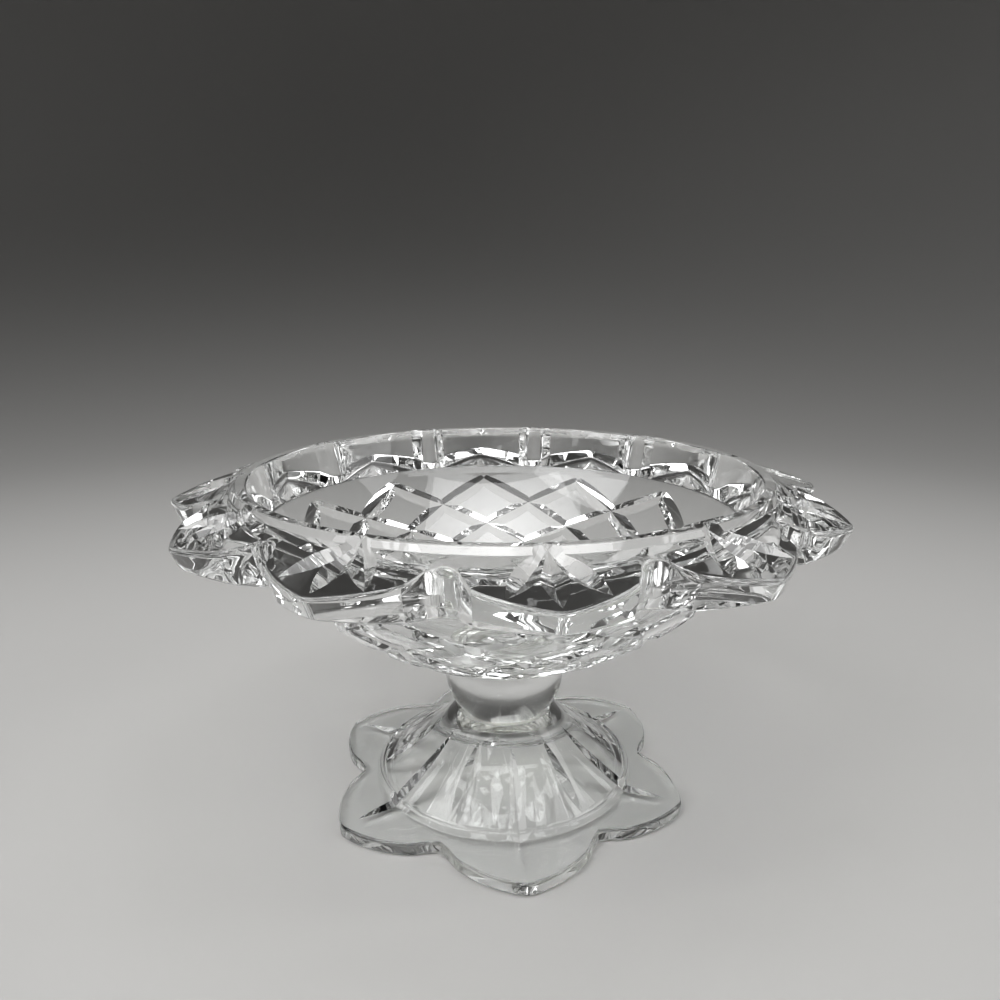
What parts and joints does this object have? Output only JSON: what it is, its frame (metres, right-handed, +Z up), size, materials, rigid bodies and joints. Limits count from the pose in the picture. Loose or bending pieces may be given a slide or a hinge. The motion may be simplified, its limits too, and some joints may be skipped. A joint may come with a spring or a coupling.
{
  "type": "footed compote bowl",
  "caption": "Clear pressed-glass compote: a shallow bowl with a rim of pointed petals and cut diamonds, on a ball knop and a petalled foot.",
  "frame": {"origin": "middle of the foot's underside, on the surface that the compote stands on", "axes": "+Z up along the compote's axis of symmetry; one rim petal and one foot petal point along -Y"},
  "size_m": [0.254, 0.254, 0.1334],
  "materials": {
    "clear_glass": "fire-polished clear crystal glass",
    "clear_bond": "clear cured bond film"
  },
  "bodies": {
    "root": {"bowl": "clear_glass", "bowl_bond": "clear_bond", "stem_knop": "clear_glass", "foot_bond": "clear_bond", "foot": "clear_glass"}
  },
  "joints": []
}
